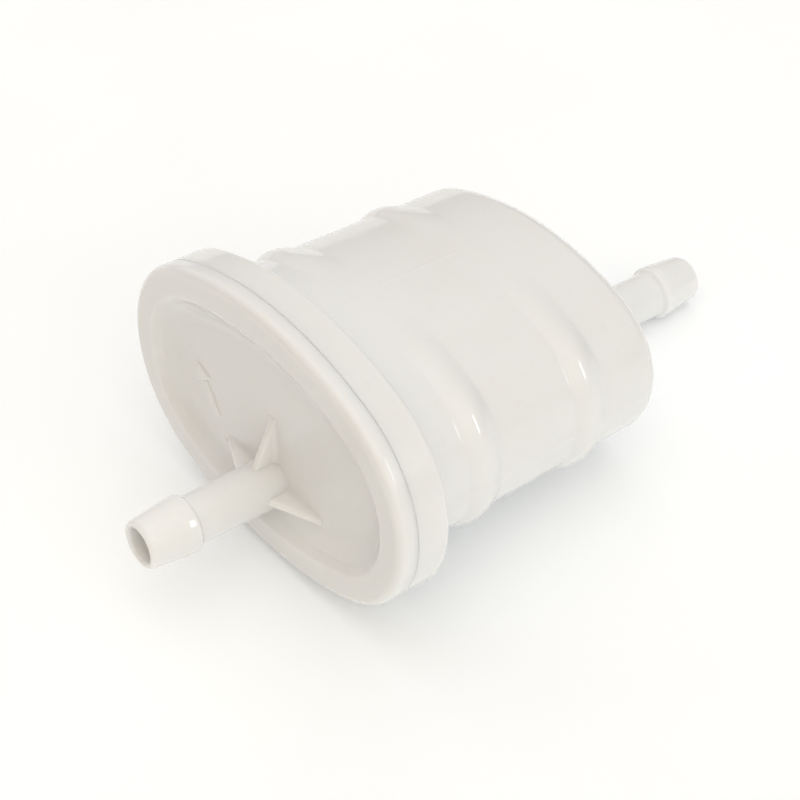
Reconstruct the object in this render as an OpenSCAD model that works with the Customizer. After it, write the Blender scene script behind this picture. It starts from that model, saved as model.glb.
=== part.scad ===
// In-line fuel filter with a flattened oval housing, moulded in two halves
// and welded at a flange, with a pleated paper cartridge sealed inside.
// X runs along the flow, from the tip of the inlet spigot to the tip of the
// outlet spigot. Y is the wide way across the housing and Z the thin way, up.
// The origin is the centre of the inlet spigot's end face. Millimetres.

/* [Housing outline] */
// Half of the flange's width, along Y
flange_half_w = 28.8; // [27:0.1:32]
// Half of the flange's height, along Z
flange_half_h = 18.8; // [18:0.1:20]
// Radius of the outline's two round ends
end_r = 16.3; // [15.5:0.1:17]
// How far the flow axis lies below the middle of the housing
axis_drop = 8.8; // [7:0.1:9]

/* [Cap] */
// Thickness of the cap's rim in front of the weld
cap_t = 2.7; // [2.4:0.1:4]
// Width of the flat rim round the recessed face
rim_w = 4.2; // [3.5:0.1:5]
// Depth of the recess in the cap's face
recess_d = 2.3; // [1.2:0.1:2.4]
// Thickness of the cap's plate behind the recess
plate_t = 1.6; // [1.2:0.1:2]

/* [Cup] */
// Thickness of the cup's flange behind the weld
flange_t = 4.9; // [4:0.1:6]
// How far the flange stands out from the body
flange_step = 4.3; // [3.5:0.1:5]
// Length of the cup, from the weld to its end wall
cup_l = 45.3; // [42:0.1:50]
// How much the body narrows on each side towards its end
draft = 0.7; // [0.3:0.1:1]
// Thickness of the cup's wall
wall = 1.6; // [1.2:0.1:1.8]
// Radius of the rounded edge at the cup's end
end_round = 4; // [3:0.1:4.5]

/* [Beads round the body] */
// Places of the two beads behind the weld
bead_x = [14.4, 32.3];
// Width of a bead along the flow
bead_w = 6.2; // [4:0.1:7]
// Height of a bead at the housing's round ends
bead_h = 1; // [0.5:0.1:1.3]
// Height of a bead on the broad faces
bead_face_h = 0.2; // [0.2:0.05:0.8]

/* [Hose spigots] */
// Radius of the plain shank that the hose grips
shank_r = 3.4; // [3.2:0.1:3.6]
// Radius of the barb's crest
barb_r = 3.95; // [3.8:0.05:4.2]
// Radius of the spigot's tip
tip_r = 3.2; // [3:0.05:3.4]
// Radius of the fuel passage
bore_r = 2.45; // [2:0.05:2.6]
// Length of the barb's cone
barb_cone_l = 5.8; // [4:0.1:7]
// Length of the barb's straight crest
barb_land_l = 1.2; // [0.8:0.1:2]
// Inlet tip's distance in front of the weld
inlet_reach = 21.1; // [19:0.1:26]
// Outlet tip's distance behind the cup's end wall
outlet_reach = 29.6; // [20:0.1:32]

/* [Gussets] */
// How far a gusset reaches from the flow axis
gusset_r = 10.5; // [8:0.1:11.5]
// How far a gusset climbs along the spigot
gusset_l = 3.4; // [2:0.1:5]
// Thickness of a gusset
gusset_t = 1.1; // [0.8:0.1:1.6]

/* [Cartridge] */
// Number of folds in the paper
pleats = 34; // [24:2:36]
// Thickness of the filter paper
paper_t = 0.45; // [0.3:0.05:0.6]
// Depth of the folds
fold_d = 4.3; // [3:0.1:4.6]
// Length of the paper along the flow
paper_l = 29.2; // [26:0.1:30]
// Thickness of each glue bed under the paper
glue_t = 0.8; // [0.5:0.1:1]
// Thickness of the core tube's wall
core_t = 0.9; // [0.6:0.1:1]

/* [Hidden] */
$fn = 96;

milky = [0.93, 0.92, 0.90];
cartridge_white = [0.96, 0.96, 0.94];
paper_colour = [0.86, 0.78, 0.58];
glue_colour = [0.80, 0.68, 0.42];
rubber_colour = [0.10, 0.10, 0.10];

// Small overlap that joins solids of one piece, and clearance between pieces
join = 0.2;
gap = 0.1;

// Straight steps that each end arc and each side arc of a swept oval is cut into
end_steps = 15;
side_steps = 18;

// The outline is an oval of four arcs: side_r for the broad faces and end_r
// for the ends. Their centres lie side_c below or above, and end_c beside,
// the middle, and split_a is the angle at which one arc hands over.
end_c = flange_half_w - end_r;
side_r = arc_centre(flange_half_w, flange_half_h, end_r);
side_c = side_r - flange_half_h;
split_a = atan2(side_c, end_c);

// Places along the flow, measured from the weld plane
floor_x = recess_d - cap_t;
plate_back_x = floor_x + plate_t;
cup_inner_x = cup_l - wall - 0.2;
ledge_x = cup_inner_x - 2.4;
gasket_t = 1;
outlet_plate_t = 1.5;
outlet_plate_x = ledge_x - gasket_t - outlet_plate_t;
paper_x = outlet_plate_x - glue_t - paper_l;
inlet_plate_t = 1.2;
inlet_plate_x = paper_x - glue_t - inlet_plate_t;
lip_t = 0.35;
// The outlet's passage notches the ledge's foot by this much
passage_in = 0.3;
lip_h = glue_t + 0.6;

// Insets from the flange's outline
body_in = flange_step;
cavity_in = body_in + wall;
ledge_in = cavity_in + 2.2;
cartridge_in = cavity_in + 2.2;
fold_out_in = cartridge_in + 0.5;
fold_in_in = fold_out_in + fold_d;
core_in = fold_in_in + 0.15;
core_bore_in = core_in + core_t;

// Inset of the cup's outside and of its cavity at a place along the flow
function outer_in(x) = body_in + draft * (x - flange_t) / (cup_l - flange_t);
function cavity_at(x) = outer_in(x) + wall;

// A point on the oval at an inset: f runs from 0 to 1 once round, in steps of
// equal length on the oval that lies ref_in inside the flange's outline.
ref_in = (fold_out_in + fold_in_in) / 2;
end_len = 2 * split_a * (end_r - ref_in);
side_len = (180 - 2 * split_a) * (side_r - ref_in);
half_len = end_len + side_len;
function half_point(s, inset) =
    s < end_len
    ? let (a = -split_a + s / (end_r - ref_in))
        [end_c + (end_r - inset) * cos(a), (end_r - inset) * sin(a)]
    : let (a = split_a + (s - end_len) / (side_r - ref_in))
        [(side_r - inset) * cos(a), (side_r - inset) * sin(a) - side_c];
function oval_point(f, inset) =
    let (s = 2 * half_len * (f - floor(f)))
    s < half_len ? half_point(s, inset) : -half_point(s - half_len, inset);

// The oval of half width w, half height h and end radius r, at an inset, cut
// into steps that fall on the same angles at every inset
function arc_centre(w, h, r) = let (c = w - r) (c * c + h * h - r * r) / (2 * (h - r));
function half_oval(inset, w, h, r) =
    let (big = arc_centre(w, h, r), split = atan2(big - h, w - r))
    concat(
        [for (i = [0:end_steps - 1]) let (a = -split + 2 * split * i / end_steps)
            [w - r + (r - inset) * cos(a), (r - inset) * sin(a)]],
        [for (i = [0:side_steps - 1]) let (a = split + (180 - 2 * split) * i / side_steps)
            [(big - inset) * cos(a), (big - inset) * sin(a) - big + h]]
    );
function oval(inset, w = flange_half_w, h = flange_half_h, r = end_r) =
    let (half = half_oval(inset, w, h, r)) concat(half, -half);

// A quarter arc of a profile, from angle a0 to a1, as [place, inset] pairs
function profile_arc(x, inset, r, a0, a1, n) =
    [for (i = [0:n]) let (a = a0 + (a1 - a0) * i / n) [x + r * cos(a), inset + r * sin(a)]];

// Turns shapes drawn in the cross-section, with their height along the flow,
// into the part's own frame. z = 0 is the weld plane.
module along_flow() {
    translate([inlet_reach, 0, 0]) rotate([90, 0, 90]) children();
}

// Moves from the flow axis to the middle of the housing
module housing_middle() {
    translate([0, axis_drop, 0]) children();
}

// A wall that follows an oval of half width w, half height h and end radius
// r: a closed profile of [place, inset] pairs is swept once round it. The
// profile runs along the flow on its outer side and back on its inner side.
module oval_wall(profile, w = flange_half_w, h = flange_half_h, r = end_r) {
    rings = [for (p = profile) [for (q = oval(p[1], w, h, r)) [q[0], q[1], p[0]]]];
    m = len(profile);
    n = len(rings[0]);
    polyhedron(
        points = [for (ring = rings) each ring],
        faces = [for (j = [0:m - 1], i = [0:n - 1])
            [j * n + i, (j + 1) % m * n + i, (j + 1) % m * n + (i + 1) % n, j * n + (i + 1) % n]]
    );
}

// A flat plate with the oval's shape
module oval_plate(inset, x0, x1) {
    translate([0, 0, x0]) linear_extrude(x1 - x0) polygon(oval(inset));
}

// A flat ring that follows the oval, between two insets
module oval_band(inset0, inset1, x0, x1) {
    difference() {
        oval_plate(inset0, x0, x1);
        oval_plate(inset1, x0 - 1, x1 + 1);
    }
}

// Outside of a spigot that stands up from z = 0 to its tip at z = l
module spigot_body(l, root) {
    rotate_extrude() polygon([
        [0, -root],
        [shank_r, -root],
        [shank_r, l - barb_cone_l - barb_land_l - 0.4],
        [barb_r, l - barb_cone_l - barb_land_l],
        [barb_r, l - barb_cone_l],
        [tip_r + 0.15, l - 0.4],
        [tip_r - 0.2, l],
        [0, l]
    ]);
}

// Four gussets round the foot of a spigot that stands on z = 0
module gussets() {
    for (a = [0:90:270])
        rotate([90, 0, a]) translate([0, 0, -gusset_t / 2]) linear_extrude(gusset_t)
            polygon([
                [bore_r + 0.4, -join],
                [gusset_r, -join],
                [gusset_r, 0.15],
                [shank_r, gusset_l],
                [bore_r + 0.4, gusset_l]
            ]);
}

// Cap: flat rim, dished face, inlet spigot and its four gussets, one moulding
module inlet_cap() {
    rim = concat(
        [
            [0, cavity_in + gap],
            [plate_back_x, cavity_in + gap],
            [plate_back_x, rim_w + 3.6],
            [floor_x, rim_w + 3.6],
            [0.8 - cap_t, rim_w + 0.5],
            [-cap_t, rim_w]
        ],
        profile_arc(1.3 - cap_t, 1.3, 1.3, 180, 270, 4),
        [[0, 0]]
    );
    color(milky) along_flow() difference() {
        union() {
            housing_middle() oval_wall(rim);
            housing_middle() oval_plate(rim_w + 3.2, floor_x, plate_back_x);
            translate([0, 0, floor_x]) mirror([0, 0, 1]) spigot_body(inlet_reach + floor_x, 0.5);
            intersection() {
                translate([0, 0, floor_x]) mirror([0, 0, 1]) gussets();
                housing_middle() oval_plate(rim_w + 0.7, -cap_t - gusset_l, plate_back_x - 0.3);
            }
        }
        translate([0, 0, -inlet_reach - 1]) cylinder(r = bore_r, h = inlet_reach + plate_back_x + 2);
    }
}

// A bead: a low ring whose crest stands high at the round ends and sinks
// into the body on the broad faces
module bead(x) {
    w = flange_half_w - outer_in(x) + bead_h;
    h = flange_half_h - outer_in(x) + bead_face_h;
    sag_r = (bead_w * bead_w / 4 + bead_h * bead_h) / (2 * bead_h);
    half_a = asin(bead_w / 2 / sag_r);
    ring = concat(
        [for (i = [-3:3]) let (a = half_a * i / 3) [x + sag_r * sin(a), sag_r * (1 - cos(a))]],
        [[x + bead_w / 2, bead_h + 0.6], [x - bead_w / 2, bead_h + 0.6]]
    );
    oval_wall(ring, w, h, end_r - body_in + 0.6);
}

// Cup: flange, tapered body with two beads, end wall, inner ledge for the
// gasket and the outlet spigot, one moulding
module housing_cup() {
    end_in = outer_in(cup_l);
    shell = concat(
        [[0, 0], [flange_t - 0.6, 0], [flange_t, 0.6], [flange_t, body_in - 0.4], [flange_t + 0.4, body_in]],
        profile_arc(cup_l - end_round, end_in + end_round, end_round, 270, 360, 5),
        [
            [cup_l, end_in + end_round + 1.2],
            [cup_inner_x, end_in + end_round + 1.2],
            [cup_inner_x, ledge_in],
            [ledge_x, ledge_in],
            [ledge_x, cavity_at(ledge_x)],
            [0, cavity_in]
        ]
    );
    color(milky) along_flow() difference() {
        union() {
            housing_middle() oval_wall(shell);
            housing_middle() oval_plate(end_in + end_round + 0.6, cup_inner_x, cup_l);
            for (x = bead_x)
                housing_middle() bead(x);
            translate([0, 0, cup_l]) spigot_body(outlet_reach, wall);
            intersection() {
                translate([0, 0, cup_l]) gussets();
                housing_middle() oval_plate(end_in + 1.5, cup_inner_x + 0.3, cup_l + gusset_l);
            }
        }
        translate([0, 0, cup_inner_x - passage_in])
            cylinder(r = bore_r, h = cup_l + outlet_reach - cup_inner_x + 2);
    }
}

// Closed plate at the inlet end of the cartridge, with four legs that
// bear on the cap, so the fuel has to go round it
module inlet_end_plate() {
    color(cartridge_white) along_flow() housing_middle() {
        difference() {
            oval_plate(cartridge_in, inlet_plate_x, inlet_plate_x + inlet_plate_t + lip_h);
            oval_plate(cartridge_in + lip_t, inlet_plate_x + inlet_plate_t, inlet_plate_x + 9);
        }
        for (y = [-13, 13], z = [-4, 4])
            translate([y, z, plate_back_x]) cylinder(r = 1.2, h = inlet_plate_x - plate_back_x + join);
    }
}

// Plate at the outlet end, with a window into the core. It rests on the
// gasket and keeps unfiltered fuel away from the outlet.
module outlet_end_plate() {
    color(cartridge_white) along_flow() housing_middle()
        oval_band(cavity_at(outlet_plate_x + outlet_plate_t) + 0.3, core_bore_in, outlet_plate_x,
            outlet_plate_x + outlet_plate_t);
}

// Filter paper, folded into a ring of deep pleats
module pleated_paper() {
    pitch = 1 / pleats;
    half_fold = pitch * 0.17;
    half_skin = paper_t / (2 * 2 * half_len * PI / 180);
    outside = [for (i = [0:pleats - 1]) each [
        oval_point(i * pitch - half_fold - half_skin, fold_out_in),
        oval_point(i * pitch + half_fold + half_skin, fold_out_in),
        oval_point((i + 0.5) * pitch - half_fold + half_skin, fold_in_in - paper_t),
        oval_point((i + 0.5) * pitch + half_fold - half_skin, fold_in_in - paper_t)
    ]];
    inside = [for (i = [0:pleats - 1]) each [
        oval_point(i * pitch - half_fold + half_skin, fold_out_in + paper_t),
        oval_point(i * pitch + half_fold - half_skin, fold_out_in + paper_t),
        oval_point((i + 0.5) * pitch - half_fold - half_skin, fold_in_in),
        oval_point((i + 0.5) * pitch + half_fold + half_skin, fold_in_in)
    ]];
    color(paper_colour) along_flow() housing_middle() translate([0, 0, paper_x]) difference() {
        linear_extrude(paper_l) polygon(outside);
        translate([0, 0, -1]) linear_extrude(paper_l + 2) polygon(inside);
    }
}

// Glued strip that joins the paper's first and last folds
module seam_strip() {
    strip_w = 3;
    strip_t = 0.4;
    color(glue_colour) along_flow() housing_middle()
        translate([-strip_w / 2, flange_half_h - fold_out_in + 0.05, paper_x + 1])
            cube([strip_w, strip_t, paper_l - 2]);
}

// Slotted oval tube that keeps the pleats from folding inwards
module core_tube() {
    slot_w = 3;
    slot_l = 5.5;
    slot_rows = [-11, -5.5, 0, 5.5, 11];
    slots_along = 4;
    slot_pitch = paper_l / slots_along;
    color(cartridge_white) along_flow() housing_middle() difference() {
        oval_band(core_in, core_bore_in, paper_x, paper_x + paper_l);
        for (y = slot_rows, i = [0:slots_along - 1])
            translate([y - slot_w / 2, -10, paper_x + (i + 0.5) * slot_pitch - slot_l / 2])
                cube([slot_w, 20, slot_l]);
    }
}

// Bed of glue that closes the folds at one end of the paper
module glue_bed(x) {
    color(glue_colour) along_flow() housing_middle()
        oval_band(cartridge_in + 0.4, core_bore_in, x, x + glue_t);
}

module inlet_glue_bed() {
    glue_bed(paper_x - glue_t);
}

module outlet_glue_bed() {
    glue_bed(paper_x + paper_l);
}

// Flat oval gasket between the outlet end plate and the cup's ledge
module outlet_gasket() {
    color(rubber_colour) along_flow() housing_middle()
        oval_band(cavity_at(ledge_x) + 0.3, ledge_in, ledge_x - gasket_t, ledge_x);
}

inlet_cap();
housing_cup();
inlet_end_plate();
outlet_end_plate();
pleated_paper();
seam_strip();
core_tube();
inlet_glue_bed();
outlet_glue_bed();
outlet_gasket();
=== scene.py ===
"""In-line fuel filter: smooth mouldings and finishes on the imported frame.

The housing is an inlet cap and a cup, moulded in milky plastic and welded at a
flange, with a pleated paper cartridge sealed inside. Lengths in the classes
are millimetres; meshes are made in metres, in the frame's own axes.
"""

import logging
import math
from dataclasses import dataclass, field
from enum import Enum

import bmesh
import bpy
import numpy as np
from mathutils import Matrix, Vector


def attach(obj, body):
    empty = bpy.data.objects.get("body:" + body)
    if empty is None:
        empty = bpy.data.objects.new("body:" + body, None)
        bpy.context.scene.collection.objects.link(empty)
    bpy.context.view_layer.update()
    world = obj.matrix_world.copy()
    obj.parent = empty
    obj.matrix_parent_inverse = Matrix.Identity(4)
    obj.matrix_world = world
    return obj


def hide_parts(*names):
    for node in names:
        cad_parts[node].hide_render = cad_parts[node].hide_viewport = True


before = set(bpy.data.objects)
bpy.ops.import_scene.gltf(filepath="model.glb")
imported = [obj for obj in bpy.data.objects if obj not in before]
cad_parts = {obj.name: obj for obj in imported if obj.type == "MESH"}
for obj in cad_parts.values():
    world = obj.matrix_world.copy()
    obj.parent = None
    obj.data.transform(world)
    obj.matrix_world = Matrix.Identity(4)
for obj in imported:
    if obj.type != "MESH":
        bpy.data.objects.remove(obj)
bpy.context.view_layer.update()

LOG = logging.getLogger("fuel_filter")
MM = 0.001
WELD_X = 21.1
Colour = tuple[float, float, float]


class End(Enum):
    """Which end of the flow axis a spigot stands on; the value is its sense along X."""

    INLET = -1
    OUTLET = 1


class Slot(Enum):
    """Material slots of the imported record."""

    MILKY = "milky_plastic"
    CARTRIDGE = "cartridge_plastic"
    PAPER = "filter_paper"
    GLUE = "potting_glue"
    RUBBER = "gasket_rubber"


class Cut(Enum):
    """How one solid is combined with another."""

    ADD = "UNION"
    TAKE = "DIFFERENCE"


# ---------------------------------------------------------------- outlines


def rounded(corners: list[tuple[float, float, float]], steps: int = 7) -> np.ndarray:
    """Round the corners of an open outline.

    Args:
        corners: (x, y, radius) of each corner, in order; a radius of 0 stays sharp.
        steps: straight steps in each rounded corner.

    Returns:
        The outline's points, one row each.
    """
    points = []
    for i, (x, y, radius) in enumerate(corners):
        here = np.array([x, y])
        if radius <= 0 or i in (0, len(corners) - 1):
            points.append(here)
            continue
        before = np.array(corners[i - 1][:2]) - here
        after = np.array(corners[i + 1][:2]) - here
        before_len, after_len = np.linalg.norm(before), np.linalg.norm(after)
        before, after = before / before_len, after / after_len
        half = math.acos(float(np.clip(before @ after, -1, 1))) / 2
        cut = min(radius / math.tan(half), 0.49 * before_len, 0.49 * after_len)
        arc_r = cut * math.tan(half)
        middle = (before + after) / np.linalg.norm(before + after)
        centre = here + middle * arc_r / math.sin(half)
        start, end = here + before * cut - centre, here + after * cut - centre
        turn = math.atan2(start[0] * end[1] - start[1] * end[0], float(start @ end))
        for k in range(steps + 1):
            a = turn * k / steps
            spin = np.array([[math.cos(a), -math.sin(a)], [math.sin(a), math.cos(a)]])
            points.append(centre + spin @ start)
    return np.array(points)


def smooth(value: np.ndarray | float, low: float, high: float) -> np.ndarray | float:
    """Ease from 0 at low to 1 at high.

    Args:
        value: a number or an array of them.
        low: where the result starts to rise.
        high: where it reaches 1.

    Returns:
        The eased value, of the same shape.
    """
    t = np.clip((value - low) / (high - low), 0, 1)
    return t * t * (3 - 2 * t)


@dataclass(frozen=True)
class Oval:
    """The housing's outline: two broad side arcs and two round end arcs."""

    half_w: float = 28.8
    half_h: float = 18.8
    end_r: float = 16.3
    centre_z: float = 8.8
    end_steps: int = 60
    side_steps: int = 72

    def angles(self) -> tuple[np.ndarray, np.ndarray]:
        """Angles of the stations on one end arc and on one side arc.

        Returns:
            The end arc's angles and the side arc's, in degrees, with extra
            stations at their middles, where the fine mould lines run.
        """
        offset = self.half_w - self.end_r
        side_r = self.side_radius()
        split = math.degrees(math.atan2(side_r - self.half_h, offset))
        end = np.linspace(-split, split, self.end_steps, endpoint=False)
        side = np.linspace(split, 180 - split, self.side_steps, endpoint=False)
        fine_end = np.array([-0.9, -0.45, -0.2, 0.2, 0.45, 0.9])
        fine_side = 90 + np.array([-0.55, -0.3, -0.15, 0.15, 0.3, 0.55]) - 1.06
        return np.sort(np.append(end, fine_end)), np.sort(np.append(side, fine_side))

    def side_radius(self) -> float:
        """Radius of the two broad arcs."""
        offset = self.half_w - self.end_r
        return (offset**2 + self.half_h**2 - self.end_r**2) / (2 * (self.half_h - self.end_r))

    def stations(self) -> np.ndarray:
        """Stations once round the outline.

        Returns:
            Rows of arc centre y and z, outward direction y and z, and radius.
        """
        end, side = (np.radians(a) for a in self.angles())
        offset, side_r = self.half_w - self.end_r, self.side_radius()
        rows = []
        for sign in (1, -1):
            for a in end:
                rows.append([sign * offset, 0, sign * math.cos(a), sign * math.sin(a), self.end_r])
            for a in side:
                drop = self.half_h - side_r
                rows.append([0, sign * drop, sign * math.cos(a), sign * math.sin(a), side_r])
        return np.array(rows)

    def ring(self, place: float, inset: np.ndarray | float) -> np.ndarray:
        """One ring of points round the outline.

        Args:
            place: distance behind the weld plane.
            inset: distance inside the outline, one for all or one a station.

        Returns:
            Points in millimetres, in the frame's axes.
        """
        s = self.stations()
        reach = s[:, 4] - inset
        y = s[:, 0] + reach * s[:, 2]
        z = self.centre_z + s[:, 1] + reach * s[:, 3]
        return np.stack([np.full_like(y, WELD_X + place), y, z], 1)


# ---------------------------------------------------------------- solids


def solid_from_rings(name: str, rings: list[np.ndarray]) -> bpy.types.Object:
    """Make a closed solid from rings of points.

    Args:
        name: the object's name.
        rings: rings of the same length, in millimetres; the first and the last are filled.

    Returns:
        The object, with its faces turned outwards.
    """
    mesh = bpy.data.meshes.new(name)
    build = bmesh.new()
    rows = [[build.verts.new(tuple(p * MM)) for p in ring] for ring in rings]
    count = len(rows[0])
    for low, high in zip(rows, rows[1:]):
        for i in range(count):
            j = (i + 1) % count
            build.faces.new((low[i], low[j], high[j], high[i]))
    build.faces.new(rows[0])
    build.faces.new(rows[-1])
    bmesh.ops.recalc_face_normals(build, faces=build.faces)
    build.to_mesh(mesh)
    build.free()
    piece = bpy.data.objects.new(name, mesh)
    bpy.context.scene.collection.objects.link(piece)
    return piece


def combine(base: bpy.types.Object, tool: bpy.types.Object, cut: Cut) -> None:
    """Add a tool solid to a base solid or take it away, and drop the tool.

    Args:
        base: the solid that keeps the result.
        tool: the solid that is used up.
        cut: whether the tool is added or taken away.
    """
    step = base.modifiers.new("combine", "BOOLEAN")
    step.operation = cut.value
    step.solver = "MANIFOLD"
    step.object = tool
    bpy.context.view_layer.update()
    result = bpy.data.meshes.new_from_object(base.evaluated_get(bpy.context.evaluated_depsgraph_get()))
    if len(result.polygons) == 0:
        step.solver = "EXACT"
        bpy.context.view_layer.update()
        result = bpy.data.meshes.new_from_object(base.evaluated_get(bpy.context.evaluated_depsgraph_get()))
    base.modifiers.clear()
    old, name = base.data, base.data.name
    base.data = result
    bpy.data.meshes.remove(old)
    result.name = name
    used = tool.data
    bpy.data.objects.remove(tool)
    bpy.data.meshes.remove(used)


def smooth_shade(piece: bpy.types.Object, crease: float = 40.0) -> None:
    """Shade a solid smoothly, with creases where its faces turn sharply.

    Args:
        piece: the object to shade.
        crease: the turn in degrees above which an edge stays sharp.
    """
    clean = bmesh.new()
    clean.from_mesh(piece.data)
    bmesh.ops.remove_doubles(clean, verts=clean.verts, dist=2e-6)
    bmesh.ops.dissolve_degenerate(clean, edges=clean.edges, dist=1e-6)
    bmesh.ops.recalc_face_normals(clean, faces=clean.faces)
    clean.to_mesh(piece.data)
    clean.free()
    for face in piece.data.polygons:
        face.use_smooth = True
    piece.data.set_sharp_from_angle(angle=math.radians(crease))
    weigh = piece.modifiers.new("even_normals", "WEIGHTED_NORMAL")
    weigh.mode = "FACE_AREA_WITH_ANGLE"
    weigh.keep_sharp = True


@dataclass(frozen=True)
class Gusset:
    """A thin web between a spigot and the wall it stands on, with small fillets."""

    turn: float
    reach: float = 10.5
    end_height: float = 0.15
    height: float = 3.4
    start_r: float = 2.9
    shank_r: float = 3.4
    thick: float = 1.1
    fillet: float = 0.85
    root: float = 0.4

    def section(self, height: float) -> list[tuple[float, float]]:
        """Cross-section of the web at one height.

        Args:
            height: how far the web stands above the wall there.

        Returns:
            Points of (across the web, above the wall), once round.
        """
        fillet = min(self.fillet, 0.7 * height)
        half = self.thick / 2
        crown = min(half, 0.3 * height)
        left = [(-half - fillet, -self.root)]
        for k in range(6):
            a = math.radians(90 - 18 * k)
            left.append((-half - fillet + fillet * math.cos(a), fillet - fillet * math.sin(a)))
        for k in range(5):
            a = math.radians(180 - 20 * k)
            left.append((half * math.cos(a), height - crown + crown * math.sin(a)))
        return left + [(half * 0.05, height)] + [(-x, y) for x, y in reversed(left)]

    def solid(self, end: End, wall_x: float) -> bpy.types.Object:
        """Build the web.

        Args:
            end: the end of the flow axis it stands on.
            wall_x: the wall's place behind the weld plane.

        Returns:
            The web as a closed solid.
        """
        a = math.radians(self.turn)
        out = np.array([0, math.cos(a), math.sin(a)])
        across = np.array([0, -math.sin(a), math.cos(a)])
        along = np.array([end.value, 0, 0])
        foot = np.array([WELD_X + wall_x, 0, 0])
        rings = []
        for r in np.linspace(self.start_r, self.reach, 16):
            share = smooth(r, self.shank_r - 0.6, self.shank_r + 0.3) * (r - self.shank_r)
            share = max(0.0, float(share)) / (self.reach - self.shank_r)
            height = self.height + (self.end_height - self.height) * share
            rings.append(
                np.array([foot + out * r + across * x + along * y for x, y in self.section(height)])
            )
        return solid_from_rings("gusset", rings)


@dataclass(frozen=True)
class Spigot:
    """A barbed hose spigot with its fuel passage."""

    length: float
    shank_r: float = 3.4
    barb_r: float = 3.95
    tip_r: float = 3.3
    bore_r: float = 2.45
    cone_l: float = 5.8
    land_l: float = 1.2
    flare: float = 0.9
    root: float = 0.6
    rounds: int = 120

    def turned(self, name: str, outline: np.ndarray, end: End, wall_x: float) -> bpy.types.Object:
        """Turn an outline round the flow axis.

        Args:
            name: the solid's name.
            outline: points of (height above the wall, radius).
            end: the end of the flow axis it stands on.
            wall_x: the wall's place behind the weld plane.

        Returns:
            The closed solid.
        """
        a = np.linspace(0, 2 * math.pi, self.rounds, endpoint=False)
        rings = []
        for height, radius in outline:
            x = np.full_like(a, WELD_X + wall_x + end.value * height)
            rings.append(np.stack([x, radius * np.cos(a), radius * np.sin(a)], 1))
        return solid_from_rings(name, rings)

    def outside(self, end: End, wall_x: float) -> bpy.types.Object:
        """The spigot's outer form, from its flared foot to its rounded tip.

        Args:
            end: the end of the flow axis it stands on.
            wall_x: the wall's place behind the weld plane.

        Returns:
            The closed solid.
        """
        crest = self.length - self.cone_l - self.land_l
        outline = rounded(
            [
                (-self.root, self.shank_r + self.flare, 0),
                (-0.03, self.shank_r + self.flare, 0),
                (0.0, self.shank_r + 0.03, self.flare),
                (crest - 0.5, self.shank_r - 0.02, 0.5),
                (crest, self.barb_r, 0.35),
                (crest + self.land_l, self.barb_r, 1.2),
                (self.length - 0.55, self.tip_r + 0.08, 0.5),
                (self.length, self.tip_r - 0.25, 0.25),
                (self.length, self.bore_r - 0.6, 0),
            ]
        )
        return self.turned("spigot", outline, end, wall_x)

    def passage(self, end: End, wall_x: float, depth: float) -> bpy.types.Object:
        """The fuel passage, eased at the mouth, down to a depth below the wall.

        Args:
            end: the end of the flow axis it stands on.
            wall_x: the wall's place behind the weld plane.
            depth: how far it runs below the wall.

        Returns:
            The closed solid to take away.
        """
        outline = rounded(
            [
                (-depth, self.bore_r * 0.5, 0),
                (-depth, self.bore_r, 0),
                (self.length - 0.35, self.bore_r, 0.3),
                (self.length, self.bore_r + 0.22, 0.2),
                (self.length + 0.6, self.bore_r + 0.9, 0),
                (self.length + 0.6, self.bore_r * 0.5, 0),
            ]
        )
        return self.turned("passage", outline, end, wall_x)


# ---------------------------------------------------------------- shader tools


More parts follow.
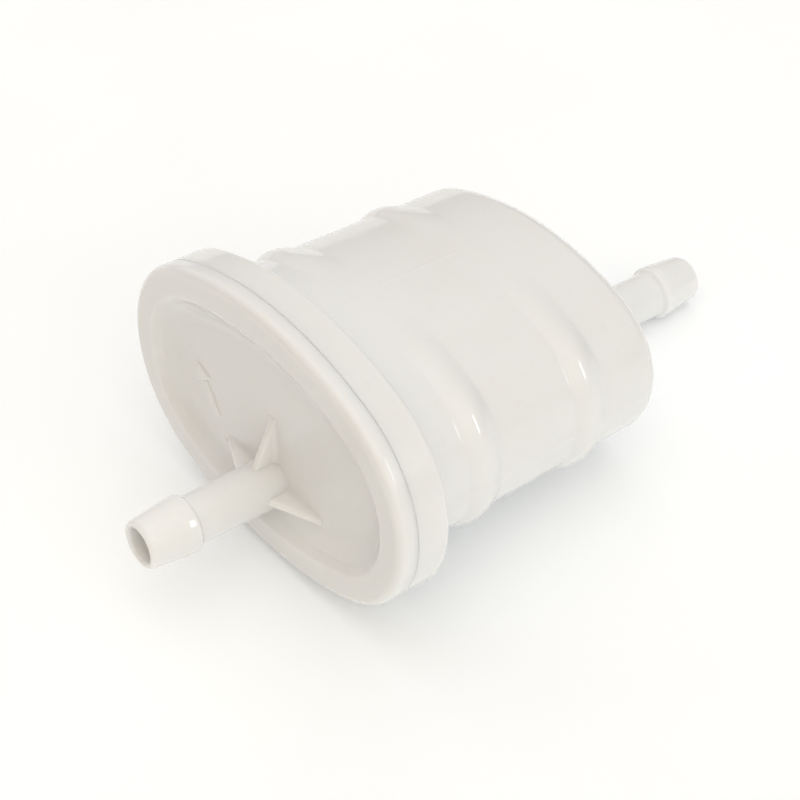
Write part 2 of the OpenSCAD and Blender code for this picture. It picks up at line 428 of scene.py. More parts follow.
class Wiring:
    """Places and joins shader nodes in one tree."""

    def __init__(self, tree: bpy.types.NodeTree) -> None:
        """Start on a tree.

        Args:
            tree: the node tree to fill.
        """
        self.tree = tree
        self.placed = 0

    def node(self, kind: str, inputs: dict | None = None, **settings: object) -> bpy.types.Node:
        """Place a node.

        Args:
            kind: the node's type.
            inputs: values or output sockets for its named or numbered inputs.
            settings: values of the node's own properties.

        Returns:
            The node.
        """
        made = self.tree.nodes.new(kind)
        made.location = (220 * (self.placed % 9), -260 * (self.placed // 9))
        self.placed += 1
        for key, value in settings.items():
            setattr(made, key, value)
        for key, value in (inputs or {}).items():
            if isinstance(value, bpy.types.NodeSocket):
                self.tree.links.new(value, made.inputs[key])
            else:
                made.inputs[key].default_value = value
        return made

    def math(self, operation: str, a: object, b: object = 0.5) -> bpy.types.NodeSocket:
        """One arithmetic step on numbers or sockets."""
        return self.node("ShaderNodeMath", {0: a, 1: b}, operation=operation).outputs[0]

    def ramp(self, value: object, low: float, high: float) -> bpy.types.NodeSocket:
        """Map a value smoothly from low..high onto 0..1.

        Args:
            value: the socket to map.
            low: where the result is 0.
            high: where the result is 1.

        Returns:
            The mapped value's socket.
        """
        made = self.node(
            "ShaderNodeMapRange",
            {"Value": value, "From Min": low, "From Max": high},
            interpolation_type="SMOOTHSTEP",
        )
        return made.outputs["Result"]

    def noise(self, vector: object, scale: object, detail: float = 3.0) -> bpy.types.NodeSocket:
        """A noise value over the surface.

        Args:
            vector: the place to look up.
            scale: how fine the noise is.
            detail: how many finer layers it adds.

        Returns:
            The noise's socket.
        """
        made = self.node(
            "ShaderNodeTexNoise", {"Vector": vector, "Scale": scale, "Detail": detail}
        )
        return made.outputs["Fac"]

    def blend(self, share: object, one: object, two: object, kind: str = "MIX") -> bpy.types.NodeSocket:
        """Mix two colours.

        Args:
            share: how much of the second colour.
            one: the first colour or its socket.
            two: the second colour or its socket.
            kind: the blend mode.

        Returns:
            The mixed colour's socket.
        """
        made = self.node("ShaderNodeMix", data_type="RGBA", blend_type=kind)
        sockets = {"Factor": share, "A": one, "B": two}
        for socket in made.inputs:
            if socket.name in sockets and socket.enabled:
                value = sockets[socket.name]
                if isinstance(value, bpy.types.NodeSocket):
                    self.tree.links.new(value, socket)
                elif isinstance(value, tuple):
                    socket.default_value = (*value[:3], 1.0)
                else:
                    socket.default_value = value
        return next(s for s in made.outputs if s.enabled)


class Effect:
    """A shader node group with named inputs and outputs, built once and shared."""

    title = "effect"
    numbers: dict[str, float] = {}
    colours: dict[str, Colour] = {}
    results: dict[str, str] = {}

    def __init__(self) -> None:
        """Build the group and its sockets."""
        self.tree = bpy.data.node_groups.new(self.title, "ShaderNodeTree")
        for name, value in self.numbers.items():
            socket = self.tree.interface.new_socket(name, in_out="INPUT", socket_type="NodeSocketFloat")
            socket.default_value = value
        for name, value in self.colours.items():
            socket = self.tree.interface.new_socket(name, in_out="INPUT", socket_type="NodeSocketColor")
            socket.default_value = (*value, 1.0)
        for name, kind in self.results.items():
            self.tree.interface.new_socket(name, in_out="OUTPUT", socket_type=kind)
        wires = Wiring(self.tree)
        source = wires.node("NodeGroupInput")
        target = wires.node("NodeGroupOutput")
        for name, socket in self.wire(wires, source.outputs).items():
            self.tree.links.new(socket, target.inputs[name])

    def wire(self, wires: Wiring, given: bpy.types.NodeOutputs) -> dict[str, bpy.types.NodeSocket]:
        """Join the group's nodes; each effect gives its own."""
        raise NotImplementedError

    def place(self, wires: Wiring, values: dict | None = None) -> bpy.types.Node:
        """Place the group in a material.

        Args:
            wires: the material's wiring.
            values: numbers, colours or sockets for the group's inputs.

        Returns:
            The group node.
        """
        return wires.node("ShaderNodeGroup", values, node_tree=self.tree)


class MouldedGrain(Effect):
    """Fine orange peel and slow waviness of a moulded plastic skin."""

    title = "moulded_grain"
    numbers = {"Grain Scale": 2600.0, "Wave Scale": 190.0, "Grain": 0.4, "Wave": 1.0}
    results = {"Height": "NodeSocketFloat", "Gloss Shift": "NodeSocketFloat"}

    def wire(self, wires: Wiring, given: bpy.types.NodeOutputs) -> dict[str, bpy.types.NodeSocket]:
        """Sum a fine noise and a slow noise; the slow one also shifts the gloss.

        Args:
            wires: the group's wiring.
            given: the group's inputs.

        Returns:
            The group's outputs by name.
        """
        place = wires.node("ShaderNodeTexCoord").outputs["Object"]
        fine = wires.noise(place, given["Grain Scale"], 2.0)
        slow = wires.noise(place, given["Wave Scale"], 1.5)
        height = wires.math(
            "ADD",
            wires.math("MULTIPLY", fine, given["Grain"]),
            wires.math("MULTIPLY", slow, given["Wave"]),
        )
        return {"Height": height, "Gloss Shift": wires.ramp(slow, 0.3, 0.7)}


class CloudyTint(Effect):
    """Slow clouds and faint flow streaks between two tones of one material."""

    title = "cloudy_tint"
    numbers = {"Scale": 45.0, "Streak": 0.3, "Amount": 1.0}
    colours = {"Main": (0.9, 0.9, 0.88), "Cloud": (0.8, 0.78, 0.72)}
    results = {"Color": "NodeSocketColor"}

    def wire(self, wires: Wiring, given: bpy.types.NodeOutputs) -> dict[str, bpy.types.NodeSocket]:
        """Mix the two tones by a cloud noise and a noise drawn out along the flow.

        Args:
            wires: the group's wiring.
            given: the group's inputs.

        Returns:
            The group's outputs by name.
        """
        place = wires.node("ShaderNodeTexCoord").outputs["Object"]
        cloud = wires.ramp(wires.noise(place, given["Scale"], 4.0), 0.36, 0.68)
        drawn = wires.node("ShaderNodeMapping", {"Vector": place, "Scale": (0.18, 1.0, 1.0)}).outputs[0]
        streak = wires.ramp(wires.noise(drawn, wires.math("MULTIPLY", given["Scale"], 5.0), 2.0), 0.45, 0.75)
        both = wires.math("ADD", cloud, wires.math("MULTIPLY", streak, given["Streak"]))
        share = wires.math("MINIMUM", wires.math("MULTIPLY", both, given["Amount"]), 1.0)
        return {"Color": wires.blend(share, given["Main"], given["Cloud"])}


class EdgeWearAndGlow(Effect):
    """Mask of edges that stand out, for rubbed wear and for painted glow where thin edges let light through.
    """

    title = "edge_wear_and_glow"
    numbers = {"Start": 0.52, "Full": 0.6, "Breakup Scale": 700.0}
    results = {"Mask": "NodeSocketFloat"}

    def wire(self, wires: Wiring, given: bpy.types.NodeOutputs) -> dict[str, bpy.types.NodeSocket]:
        """Pick outward edges by how pointed they are and break them up a little.

        Args:
            wires: the group's wiring.
            given: the group's inputs.

        Returns:
            The group's outputs by name.
        """
        point = wires.node("ShaderNodeNewGeometry").outputs["Pointiness"]
        edge = wires.node(
            "ShaderNodeMapRange",
            {"Value": point, "From Min": given["Start"], "From Max": given["Full"]},
            interpolation_type="SMOOTHSTEP",
        ).outputs["Result"]
        place = wires.node("ShaderNodeTexCoord").outputs["Object"]
        broken = wires.ramp(wires.noise(place, given["Breakup Scale"], 3.0), 0.25, 0.6)
        return {"Mask": wires.math("MULTIPLY", edge, broken)}


class SettledDust(Effect):
    """Mask of fine dust and handling haze, thicker on faces that look up."""

    title = "settled_dust"
    numbers = {"Scale": 900.0, "Cover": 0.5}
    results = {"Mask": "NodeSocketFloat"}

    def wire(self, wires: Wiring, given: bpy.types.NodeOutputs) -> dict[str, bpy.types.NodeSocket]:
        """Join fine specks and slow patches, weighted by how far a face looks up.

        Args:
            wires: the group's wiring.
            given: the group's inputs.

        Returns:
            The group's outputs by name.
        """
        geometry = wires.node("ShaderNodeNewGeometry")
        up = wires.node("ShaderNodeSeparateXYZ", {0: geometry.outputs["Normal"]}).outputs["Z"]
        lying = wires.ramp(up, -0.2, 0.9)
        place = wires.node("ShaderNodeTexCoord").outputs["Object"]
        specks = wires.ramp(wires.noise(place, given["Scale"], 5.0), 0.55, 0.72)
        patch = wires.ramp(wires.noise(place, 70.0, 2.0), 0.35, 0.7)
        spread = wires.math("MULTIPLY", wires.math("ADD", specks, patch), given["Cover"])
        share = wires.math("ADD", wires.math("MULTIPLY", lying, 0.7), 0.3)
        return {"Mask": wires.math("MULTIPLY", spread, share)}


class FibreWeb(Effect):
    """Tangled fibres of filter paper."""

    title = "fibre_web"
    numbers = {"Scale": 1400.0}
    results = {"Height": "NodeSocketFloat", "Mask": "NodeSocketFloat"}

    def wire(self, wires: Wiring, given: bpy.types.NodeOutputs) -> dict[str, bpy.types.NodeSocket]:
        """Cross three noises, each drawn out in its own direction.

        Args:
            wires: the group's wiring.
            given: the group's inputs.

        Returns:
            The group's outputs by name.
        """
        place = wires.node("ShaderNodeTexCoord").outputs["Object"]
        total = None
        for turn, stretch in ((0.5, (0.15, 1, 1)), (1.6, (1, 0.15, 1)), (2.5, (1, 1, 0.15))):
            drawn = wires.node(
                "ShaderNodeMapping", {"Vector": place, "Rotation": (turn, 0.4, turn), "Scale": stretch}
            ).outputs[0]
            part = wires.noise(drawn, given["Scale"], 2.0)
            total = part if total is None else wires.math("ADD", total, part)
        return {"Height": total, "Mask": wires.ramp(total, 1.3, 1.7)}


@dataclass(frozen=True)
class Effects:
    """The shared shader effects."""

    grain: MouldedGrain = field(default_factory=MouldedGrain)
    tint: CloudyTint = field(default_factory=CloudyTint)
    wear_and_glow: EdgeWearAndGlow = field(default_factory=EdgeWearAndGlow)
    dust: SettledDust = field(default_factory=SettledDust)
    fibre: FibreWeb = field(default_factory=FibreWeb)


# ---------------------------------------------------------------- finishes


@dataclass(frozen=True)
class Finish:
    """What every finish has; each kind adds its own nodes."""

    name: str
    main: Colour
    cloud: Colour
    roughness: float
    effects: Effects

    def start(self) -> tuple[bpy.types.Material, Wiring, bpy.types.Node]:
        """Make an empty material.

        Returns:
            The material, its wiring and its surface shader.
        """
        material = bpy.data.materials.new(self.name)
        material.use_nodes = True
        material.node_tree.nodes.clear()
        wires = Wiring(material.node_tree)
        surface = wires.node("ShaderNodeBsdfPrincipled")
        out = wires.node("ShaderNodeOutputMaterial")
        material.node_tree.links.new(surface.outputs[0], out.inputs["Surface"])
        material.diffuse_color = (*self.main, 1.0)
        return material, wires, surface

    def tinted(self, wires: Wiring, values: dict[str, float]) -> bpy.types.NodeSocket:
        """Cloud the finish's two tones together.

        Args:
            wires: the material's wiring.
            values: the clouds' own numbers.

        Returns:
            The colour's socket.
        """
        tones = {"Main": (*self.main, 1), "Cloud": (*self.cloud, 1)}
        return self.effects.tint.place(wires, {**tones, **values}).outputs["Color"]

    def relief(self, wires: Wiring, surface: bpy.types.Node, height: object, depth: float) -> None:
        """Drive the surface's normal from a height.

        Args:
            wires: the material's wiring.
            surface: its surface shader.
            height: the height's socket.
            depth: the relief's depth in metres.
        """
        bump = wires.node("ShaderNodeBump", {"Height": height, "Distance": depth, "Strength": 1.0})
        wires.tree.links.new(bump.outputs["Normal"], surface.inputs["Normal"])

    def gloss(self, wires: Wiring, surface: bpy.types.Node, shift: object, spread: float) -> None:
        """Vary the surface's roughness round the finish's own.

        Args:
            wires: the material's wiring.
            surface: its surface shader.
            shift: a 0..1 mask.
            spread: the full change in roughness.
        """
        moved = wires.math("ADD", wires.math("MULTIPLY", shift, spread), self.roughness - spread / 2)
        wires.tree.links.new(moved, surface.inputs["Roughness"])


@dataclass(frozen=True)
class MilkyPlastic(Finish):
    """Glossy, slightly translucent moulding plastic of the housing."""

    # paler tone for outward edges: partly rubbed wear, partly painted glow of thin edges that let light
    # through
    edge: Colour = (0.89, 0.88, 0.86)
    dust_tone: Colour = (0.72, 0.69, 0.63)
    scatter: Colour = (1.0, 0.93, 0.85)
    scatter_depth: float = 0.0014
    scatter_share: float = 0.65

    def build(self) -> bpy.types.Material:
        """Build the material.

        Returns:
            The material.
        """
        material, wires, surface = self.start()
        skin = self.effects.grain.place(wires, {"Grain": 0.06, "Wave": 1.0})
        tint = self.tinted(wires, {"Amount": 0.55})
        wear_and_glow = self.effects.wear_and_glow.place(wires)
        dust = self.effects.dust.place(wires, {"Cover": 0.22})
        dusty = wires.math("MULTIPLY", dust.outputs["Mask"], 0.45)
        # outward edges lightened towards the edge tone: partly rubbed wear, partly painted glow of thin
        # edges that let light through
        worn = wires.math("MULTIPLY", wear_and_glow.outputs["Mask"], 0.35)
        colour = wires.blend(dusty, tint, self.dust_tone)
        colour = wires.blend(worn, colour, self.edge)
        wires.tree.links.new(colour, surface.inputs["Base Color"])
        hazed = wires.math("ADD", skin.outputs["Gloss Shift"], dust.outputs["Mask"])
        self.gloss(wires, surface, hazed, 0.06)
        self.relief(wires, surface, skin.outputs["Height"], 1.3e-5)
        surface.inputs["Subsurface Weight"].default_value = self.scatter_share
        surface.inputs["Subsurface Radius"].default_value = self.scatter
        surface.inputs["Subsurface Scale"].default_value = self.scatter_depth
        surface.inputs["IOR"].default_value = 1.49
        return material


@dataclass(frozen=True)
class CartridgePlastic(Finish):
    """Plain satin plastic of the cartridge's plates and core."""

    edge: Colour = (0.95, 0.95, 0.93)

    def build(self) -> bpy.types.Material:
        """Build the material.

        Returns:
            The material.
        """
        material, wires, surface = self.start()
        skin = self.effects.grain.place(wires, {"Grain": 0.8, "Wave": 0.5, "Grain Scale": 3400.0})
        tint = self.tinted(wires, {"Scale": 90.0})
        wear_and_glow = self.effects.wear_and_glow.place(wires)
        worn = wires.math("MULTIPLY", wear_and_glow.outputs["Mask"], 0.5)
        colour = wires.blend(worn, tint, self.edge)
        wires.tree.links.new(colour, surface.inputs["Base Color"])
        self.gloss(wires, surface, skin.outputs["Gloss Shift"], 0.14)
        self.relief(wires, surface, skin.outputs["Height"], 1.6e-5)
        surface.inputs["Subsurface Weight"].default_value = 0.3
        surface.inputs["Subsurface Scale"].default_value = 0.0006
        return material


@dataclass(frozen=True)
class FilterPaper(Finish):
    """Resin-stiffened filter paper with its fibres and stained folds."""

    stain: Colour = (0.52, 0.37, 0.17)

    def build(self) -> bpy.types.Material:
        """Build the material.

        Returns:
            The material.
        """
        material, wires, surface = self.start()
        web = self.effects.fibre.place(wires)
        tint = self.tinted(wires, {"Scale": 160.0, "Streak": 0.1})
        wear_and_glow = self.effects.wear_and_glow.place(wires, {"Start": 0.5, "Full": 0.58})
        colour = wires.blend(wires.math("MULTIPLY", web.outputs["Mask"], 0.4), tint, self.cloud)
        colour = wires.blend(wires.math("MULTIPLY", wear_and_glow.outputs["Mask"], 0.45), colour, self.stain)
        wires.tree.links.new(colour, surface.inputs["Base Color"])
        self.gloss(wires, surface, web.outputs["Mask"], 0.1)
        self.relief(wires, surface, web.outputs["Height"], 4e-5)
        surface.inputs["Sheen Weight"].default_value = 0.15
        return material


@dataclass(frozen=True)
class PottingGlue(Finish):
    """Set glue with trapped bubbles."""

    def build(self) -> bpy.types.Material:
        """Build the material.

        Returns:
            The material.
        """
        material, wires, surface = self.start()
        tint = self.tinted(wires, {"Scale": 220.0})
        place = wires.node("ShaderNodeTexCoord").outputs["Object"]
        cells = wires.node("ShaderNodeTexVoronoi", {"Vector": place, "Scale": 1500.0}).outputs["Distance"]
        bubble = wires.ramp(cells, 0.28, 0.12)
        colour = wires.blend(wires.math("MULTIPLY", bubble, 0.5), tint, self.cloud)
        wires.tree.links.new(colour, surface.inputs["Base Color"])
        self.gloss(wires, surface, bubble, 0.12)
        self.relief(wires, surface, wires.math("MULTIPLY", bubble, -1.0), 5e-5)
        surface.inputs["Subsurface Weight"].default_value = 0.4
        surface.inputs["Subsurface Scale"].default_value = 0.0008
        return material


@dataclass(frozen=True)
class GasketRubber(Finish):
    """Dark rubber with a matt moulded skin and a trace of talc."""

    talc: Colour = (0.22, 0.22, 0.21)

    def build(self) -> bpy.types.Material:
        """Build the material.

        Returns:
            The material.
        """
        material, wires, surface = self.start()
        skin = self.effects.grain.place(wires, {"Grain": 1.0, "Wave": 0.4, "Grain Scale": 4200.0})
        tint = self.tinted(wires, {"Scale": 130.0})
        dust = self.effects.dust.place(wires, {"Cover": 0.6, "Scale": 1800.0})
        wear_and_glow = self.effects.wear_and_glow.place(wires)
        colour = wires.blend(wires.math("MULTIPLY", dust.outputs["Mask"], 0.5), tint, self.talc)
        colour = wires.blend(wires.math("MULTIPLY", wear_and_glow.outputs["Mask"], 0.3), colour, self.talc)
        wires.tree.links.new(colour, surface.inputs["Base Color"])
        self.gloss(wires, surface, dust.outputs["Mask"], 0.16)
        self.relief(wires, surface, skin.outputs["Height"], 3e-5)
        return material


# ---------------------------------------------------------------- housing


@dataclass
class InletCap:
    """Cap with a flat rim, a dished face, the inlet spigot and four gussets."""

    skin: bpy.types.Material
    outline: Oval = field(default_factory=Oval)
    thick: float = 2.7
    rim_w: float = 4.1
    floor_x: float = -0.4
    floor_in: float = 11.4
    plate_t: float = 1.6
    edge_r: float = 1.3
    plug_in: float = 6.0
    seam: float = 0.09
    spigot: Spigot = field(default_factory=lambda: Spigot(length=20.7))
    mark_at: tuple[float, float] = (14.8, 5.6)
    mark_turn: float = 55.0
    mark_l: float = 7.6
    mark_h: float = 0.3

    def profile(self) -> np.ndarray:
        """Outline of the cap's wall as points of (place, inset).

        Returns:
            The outline's points, from the dished face round the rim to the inside.
        """
        return rounded(
            [
                (self.floor_x, self.floor_in, 0),
                (self.floor_x, self.rim_w + 3.6, 7.0),
                (self.floor_x - 1.2, self.rim_w + 1.3, 1.5),
                (-self.thick, self.rim_w, 0.9),
                (-self.thick, 0.0, self.edge_r),
                (-self.seam, 0.0, 0.1),
                (0.0, self.seam, 0),
                (0.0, self.plug_in, 0),
                (self.floor_x + self.plate_t, self.plug_in, 0.3),
                (self.floor_x + self.plate_t, self.floor_in, 0),
            ],
            9,
        )

    def arrow(self) -> bpy.types.Object:
        """Raised plain arrow on the dished face.

        Returns:
            The arrow as a closed solid, a little sunk into the face.
        """
        l, w, head = self.mark_l / 2, 0.5, 1.6
        flat = [(-l, -w), (l - 2.6, -w), (l - 2.6, -head), (l, 0), (l - 2.6, head), (l - 2.6, w), (-l, w)]
        a = math.radians(self.mark_turn)
        rings = []
        for x, grow in ((0.3, 0.12), (0.0, 0.12), (-self.mark_h + 0.04, 0.02), (-self.mark_h, -0.06)):
            ring = []
            for u, v in flat:
                u, v = u + math.copysign(grow, u), v + (math.copysign(grow, v) if v else 0)
                y = self.mark_at[0] + u * math.cos(a) - v * math.sin(a)
                z = self.mark_at[1] + u * math.sin(a) + v * math.cos(a)
                ring.append([WELD_X + self.floor_x + x, y, z])
            rings.append(np.array(ring))
        return solid_from_rings("mark", rings)

    def build(self) -> bpy.types.Object:
        """Build the cap and dress it.

        Returns:
            The finished piece.
        """
        rings = [self.outline.ring(x, inset) for x, inset in self.profile()]
        cap = solid_from_rings("inlet_cap_moulding", rings)
        combine(cap, self.spigot.outside(End.INLET, self.floor_x), Cut.ADD)
        webs = [
            Gusset(0),
            Gusset(90),
            Gusset(180),
            Gusset(270, 5.5, end_height=1.2, height=2.5),
        ]
        for web in webs:
            combine(cap, web.solid(End.INLET, self.floor_x), Cut.ADD)
        combine(cap, self.arrow(), Cut.ADD)
        combine(cap, self.spigot.passage(End.INLET, self.floor_x, 3.0), Cut.TAKE)
        smooth_shade(cap)
        cap.data.materials.clear()
        cap.data.materials.append(self.skin)
        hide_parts("inlet_cap")
        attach(cap, "root")
        return cap


@dataclass
class HousingCup:
    """Cup with its flange, tapered body, two fading beads and outlet spigot."""

    skin: bpy.types.Material
    outline: Oval = field(default_factory=Oval)
    length: float = 45.3
    flange_t: float = 4.9
    flange_step: float = 4.3
    draft: float = 0.7
    wall: float = 1.6
    ledge_x: float = 41.1
    ledge_in: float = 8.1
    floor_x: float = 43.5
    end_round: float = 4.0
    disc_in: float = 11.0
    corner_x: float = 37.0
    seam: float = 0.09
    bead_places: tuple[float, float] = (14.4, 32.3)
    bead_w: float = 5.4
    bead_h: float = 0.78
    bead_fade: tuple[float, float] = (0.03, 0.74)
    mould_line: float = 0.035
    spigot: Spigot = field(default_factory=lambda: Spigot(length=29.6))

    def inset_at(self, place: float) -> float:
        """Inset of the body's plain wall at a place behind the weld."""
        return self.flange_step + self.draft * (place - self.flange_t) / (self.length - self.flange_t)

    def places(self) -> np.ndarray:
        """Places of the body's rings, close together across the beads.

        Returns:
            Places behind the weld plane, in rising order.
        """
        reach = self.bead_w / 2 + 0.4
        dense = [np.linspace(c - reach, c + reach, 29) for c in self.bead_places]
        plain = np.arange(6.6, 41.0, 1.4)
        for c in self.bead_places:
            plain = plain[np.abs(plain - c) > self.bead_w / 2 + 0.8]
        return np.sort(np.concatenate([plain, *dense]))

    def relief(self, place: float) -> np.ndarray:
        """How far the beads and mould lines stand out at one place.

        Args:
            place: distance behind the weld plane.

        Returns:
            Height at each station round the outline.
        """
        s = self.outline.stations()
        endward = np.abs(s[:, 2])
        fade = smooth(endward, *self.bead_fade)
        rise = np.zeros(len(s))
        for centre in self.bead_places:
            t = (place - centre) / (self.bead_w / 2)
            if abs(t) < 1:
                rise += self.bead_h * (1 - t * t) ** 1.35 * fade
        at_side = np.exp(-((s[:, 3] / 0.006) ** 2)) * (np.abs(s[:, 2]) > 0.9)
        rise += self.mould_line * at_side
        first, second = self.bead_places
        run = smooth(place, first + 2.6, first + 4.0) * (1 - smooth(place, second - 3.4, second - 1.4))
        at_top = np.exp(-(((s[:, 2] - 0.0185) / 0.0042) ** 2)) * (s[:, 3] > 0.9)
        return rise + 1.6 * self.mould_line * at_top * run

    def rings(self) -> list[np.ndarray]:
        """Rings of the cup's outer and inner skins, from end wall to end wall.

        Returns:
            The rings in order.
        """
        end_in = self.inset_at(self.length)
        turn = [
            (self.length, self.disc_in, 0),
            (self.length, end_in, self.end_round),
            (self.corner_x, self.inset_at(self.corner_x), 0),
        ]
        corner = rounded(turn, 14)[:-1]
        rings = [self.outline.ring(x, inset) for x, inset in corner]
        for x in self.places()[::-1]:
            rings.append(self.outline.ring(x, self.inset_at(x) - self.relief(x)))
        ledge_wall = self.inset_at(self.ledge_x) + self.wall
        rest = rounded(
            [
                (6.2, self.inset_at(6.2), 0),
                (self.flange_t, self.flange_step, 0.7),
                (self.flange_t, 0.0, 0.7),
                (self.seam, 0.0, 0.1),
                (0.0, self.seam, 0),
                (0.0, 5.9, 0),
                (self.ledge_x, ledge_wall, 0),
                (self.ledge_x, self.ledge_in, 0.2),
                (self.floor_x, self.ledge_in, 0.4),
                (self.floor_x, self.disc_in, 0),
            ]
        )
        return rings + [self.outline.ring(x, inset) for x, inset in rest]

    def build(self) -> bpy.types.Object:
        """Build the cup and dress it.

        Returns:
            The finished piece.
        """
        cup = solid_from_rings("housing_cup_moulding", self.rings())
        combine(cup, self.spigot.outside(End.OUTLET, self.length), Cut.ADD)
        webs = [
            Gusset(0),
            Gusset(90),
            Gusset(180),
            Gusset(270, 4.9, end_height=0.2, root=1.6),
        ]
        for web in webs:
            combine(cup, web.solid(End.OUTLET, self.length), Cut.ADD)
        combine(cup, self.spigot.passage(End.OUTLET, self.length, 2.1), Cut.TAKE)
        smooth_shade(cup)
        cup.data.materials.clear()
        cup.data.materials.append(self.skin)
        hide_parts("housing_cup")
        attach(cup, "root")
        return cup


# ---------------------------------------------------------------- cartridge


@dataclass
class Cartridge:
    """The sealed pieces inside the housing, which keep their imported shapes."""

    effects: Effects

    def finishes(self) -> dict[Slot, Finish]:
        """The finish of each inner slot.

        Returns:
            Finishes by slot.
        """
        kit = self.effects
        plates, plates_cloud = (0.86, 0.85, 0.82), (0.78, 0.76, 0.71)
        paper, paper_cloud = (0.70, 0.57, 0.34), (0.60, 0.46, 0.25)
        glue, glue_cloud = (0.62, 0.44, 0.19), (0.48, 0.31, 0.11)
        rubber, rubber_cloud = (0.022, 0.022, 0.024), (0.04, 0.04, 0.042)
        return {
            Slot.CARTRIDGE: CartridgePlastic("cartridge_plastic", plates, plates_cloud, 0.42, kit),
            Slot.PAPER: FilterPaper("filter_paper", paper, paper_cloud, 0.85, kit),
            Slot.GLUE: PottingGlue("potting_glue", glue, glue_cloud, 0.35, kit),
            Slot.RUBBER: GasketRubber("gasket_rubber", rubber, rubber_cloud, 0.68, kit),
        }

    def build(self) -> int:
        """Dress the inner nodes.

        Returns:
            How many nodes were dressed.
        """
        made = {slot: finish.build() for slot, finish in self.finishes().items()}
        worn = {
            "inlet_end_plate": Slot.CARTRIDGE,
            "outlet_end_plate": Slot.CARTRIDGE,
            "core_tube": Slot.CARTRIDGE,
            "pleated_paper": Slot.PAPER,
            "seam_strip": Slot.GLUE,
            "inlet_glue_bed": Slot.GLUE,
            "outlet_glue_bed": Slot.GLUE,
            "outlet_gasket": Slot.RUBBER,
        }
        for name, slot in worn.items():
            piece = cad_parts[name]
            if piece.material_slots:
                for place in piece.material_slots:
                    place.material = made[slot]
            else:
                piece.data.materials.append(made[slot])
        return len(worn)


# ---------------------------------------------------------------- studio


@dataclass(frozen=True)
class Glow:
    """A broad soft light in the room, by its turn from +X, its height and its tone."""

    turn: float
    height: float
    tone: Colour
    focus: float = 4.0

    def direction(self) -> Colour:
        """Unit vector towards the light.

        Returns:
            The vector's x, y and z.
        """
        a, e = math.radians(self.turn), math.radians(self.height)
        return (math.cos(a) * math.cos(e), math.sin(a) * math.cos(e), math.sin(e))


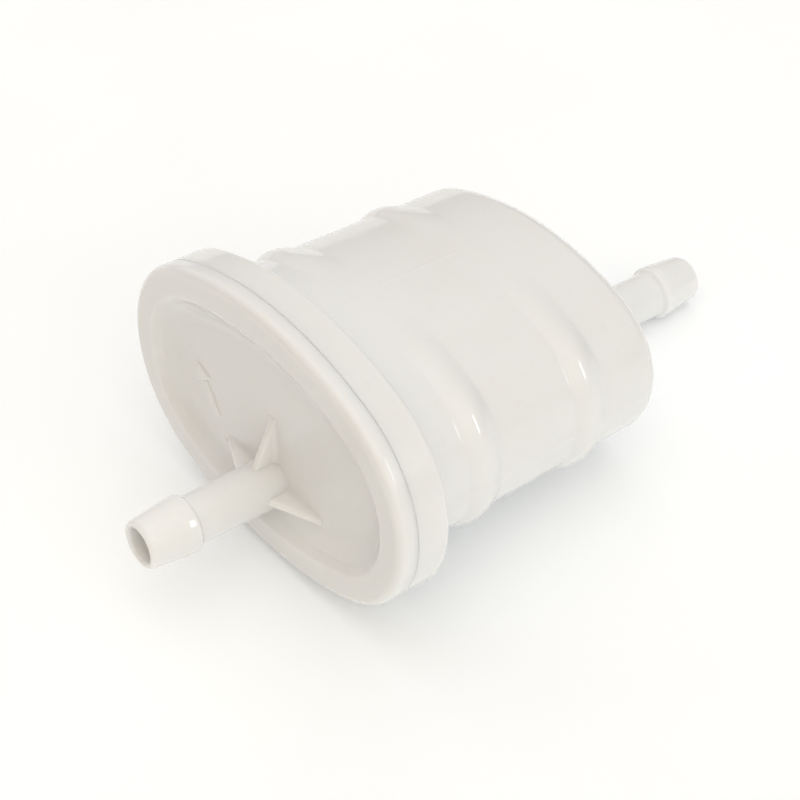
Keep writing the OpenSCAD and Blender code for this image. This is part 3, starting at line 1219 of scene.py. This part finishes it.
@dataclass
class Studio:
    """Pale floor, soft light and the camera."""

    lens: float = 85.2
    azimuth: float = -40.08
    elevation: float = 39.39
    roll: float = 2.08
    distance: float = 253.55
    aim: tuple[float, float, float] = (41.34, -0.28, 3.32)
    rest_low: tuple[float, float] = (25.6, -10.0)
    rest_high: tuple[float, float] = (90.0, -3.95)
    floor_tone: Colour = (0.97, 0.985, 1.0)
    floor_glow: float = 0.09
    floor_glow_tone: Colour = (0.86, 0.93, 1.0)
    room: tuple[Glow, ...] = (
        Glow(0, 90, (1.29, 1.29, 1.28)),
        Glow(45, 30, (0.22, 0.21, 0.19)),
        Glow(90, 30, (0.88, 0.86, 0.84)),
        Glow(180, 30, (0.15, 0.06, 0.0)),
        Glow(225, 30, (0.60, 0.56, 0.42)),
        Glow(270, 30, (1.17, 1.16, 1.14)),
    )

    def directions(self) -> tuple[Vector, Vector, Vector]:
        """Right, up and back of the camera.

        Returns:
            Three unit vectors.
        """
        a, e, r = (math.radians(x) for x in (self.azimuth, self.elevation, self.roll))
        back = Vector((math.sin(a) * math.cos(e), -math.cos(a) * math.cos(e), math.sin(e)))
        right = Vector((math.cos(a), math.sin(a), 0))
        up = back.cross(right)
        return right * math.cos(r) + up * math.sin(r), up * math.cos(r) - right * math.sin(r), back

    def camera(self) -> None:
        """Make the camera and set it as the scene's own."""
        data = bpy.data.cameras.new("studio_camera")
        data.lens = self.lens
        data.sensor_width = 36.0
        data.clip_start, data.clip_end = 0.01, 10.0
        camera = bpy.data.objects.new("studio_camera", data)
        right, up, back = self.directions()
        turn = Matrix((right, up, back)).transposed().to_4x4()
        place = Vector(self.aim) * MM + back * self.distance * MM
        camera.matrix_world = Matrix.Translation(place) @ turn
        bpy.context.scene.collection.objects.link(camera)
        bpy.context.scene.camera = camera

    def floor(self) -> None:
        """Floor that the flange's lower edge and the outlet barb rest on."""
        half = 1.6
        mesh = bpy.data.meshes.new("floor")
        corners = [(-half, -half, 0), (half, -half, 0), (half, half, 0), (-half, half, 0)]
        mesh.from_pydata(corners, [], [(0, 1, 2, 3)])
        floor = bpy.data.objects.new("floor", mesh)
        bpy.context.scene.collection.objects.link(floor)
        run, rise = (b - a for a, b in zip(self.rest_low, self.rest_high))
        slope = math.atan2(rise, run)
        place = Vector((self.rest_low[0], 0, self.rest_low[1] - 0.02)) * MM
        floor.matrix_world = Matrix.Translation(place) @ Matrix.Rotation(-slope, 4, "Y")
        material = bpy.data.materials.new("studio_paper")
        material.use_nodes = True
        wires = Wiring(material.node_tree)
        surface = material.node_tree.nodes["Principled BSDF"]
        place = wires.node("ShaderNodeTexCoord").outputs["Object"]
        mottle = wires.ramp(wires.noise(place, 25.0, 3.0), 0.3, 0.7)
        colour = wires.blend(mottle, self.floor_tone, tuple(0.985 * c for c in self.floor_tone))
        wires.tree.links.new(colour, surface.inputs["Base Color"])
        surface.inputs["Roughness"].default_value = 0.9
        surface.inputs["Specular IOR Level"].default_value = 0.1
        surface.inputs["Emission Color"].default_value = (*self.floor_glow_tone, 1.0)
        surface.inputs["Emission Strength"].default_value = self.floor_glow
        mesh.materials.append(material)

    def sky(self) -> None:
        """Soft room light from several broad sides, seen as plain white behind the object."""
        world = bpy.data.worlds.new("studio_room")
        world.use_nodes = True
        bpy.context.scene.world = world
        world.node_tree.nodes.clear()
        wires = Wiring(world.node_tree)
        ray = wires.node("ShaderNodeTexCoord").outputs["Generated"]
        total: object = (0.0, 0.0, 0.0)
        for glow in self.room:
            facing = wires.node(
                "ShaderNodeVectorMath", {0: ray, 1: glow.direction()}, operation="DOT_PRODUCT"
            ).outputs["Value"]
            spread = wires.math("POWER", wires.math("MAXIMUM", facing, 0.0), glow.focus)
            share = wires.node("ShaderNodeCombineXYZ", {0: spread, 1: spread, 2: spread}).outputs[0]
            total = wires.node(
                "ShaderNodeVectorMath", {0: glow.tone, 1: share, 2: total}, operation="MULTIPLY_ADD"
            ).outputs[0]
        seen = wires.node("ShaderNodeLightPath").outputs["Is Camera Ray"]
        colour = wires.blend(seen, total, (1.0, 1.0, 1.0))
        light = wires.node("ShaderNodeBackground", {"Color": colour, "Strength": 1.0})
        out = wires.node("ShaderNodeOutputWorld")
        world.node_tree.links.new(light.outputs[0], out.inputs["Surface"])

    def lamp(
        self, name: str, towards: Colour, away: float, size: tuple[float, float], power: float
    ) -> None:
        """Hang a rectangular light that only draws highlights, its long side round the housing.

        Args:
            name: the light's name.
            towards: direction from the object to the light.
            away: its distance in metres.
            size: its width and height in metres.
            power: its power in watts.
        """
        data = bpy.data.lights.new(name, "AREA")
        data.shape = "RECTANGLE"
        data.size, data.size_y = size[0], size[1]
        data.energy = power
        lamp = bpy.data.objects.new(name, data)
        bpy.context.scene.collection.objects.link(lamp)
        way = Vector(towards).normalized()
        tall = way.cross(Vector((1, 0, 0))).normalized()
        turn = Matrix((tall.cross(way), tall, way)).transposed().to_4x4()
        lamp.matrix_world = Matrix.Translation(Vector(self.aim) * MM + way * away) @ turn
        lamp.visible_diffuse = False

    def build(self) -> None:
        """Set up the floor, the light and the camera."""
        self.camera()
        self.floor()
        self.sky()
        self.lamp("edge_strip", (0.385, -0.775, 0.5), 2.0, (0.09, 0.7), 5.5)
        view = bpy.context.scene.view_settings
        view.view_transform = "Standard"
        view.look = "None"


def main() -> None:
    """Build the filter and its studio in order."""
    logging.basicConfig(level=logging.INFO, format="%(name)s: %(message)s")
    effects = Effects()
    studio = Studio()
    studio.build()
    LOG.info("studio set up")
    milk, milk_cloud = (0.835, 0.835, 0.835), (0.82, 0.815, 0.805)
    milky = MilkyPlastic("milky_skin", milk, milk_cloud, 0.11, effects).build()
    cap = InletCap(milky).build()
    LOG.info("%s: %d faces", cap.name, len(cap.data.polygons))
    cup = HousingCup(milky).build()
    LOG.info("%s: %d faces", cup.name, len(cup.data.polygons))
    LOG.info("cartridge: %d nodes dressed", Cartridge(effects).build())
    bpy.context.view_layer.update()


if __name__ == "__main__":
    main()
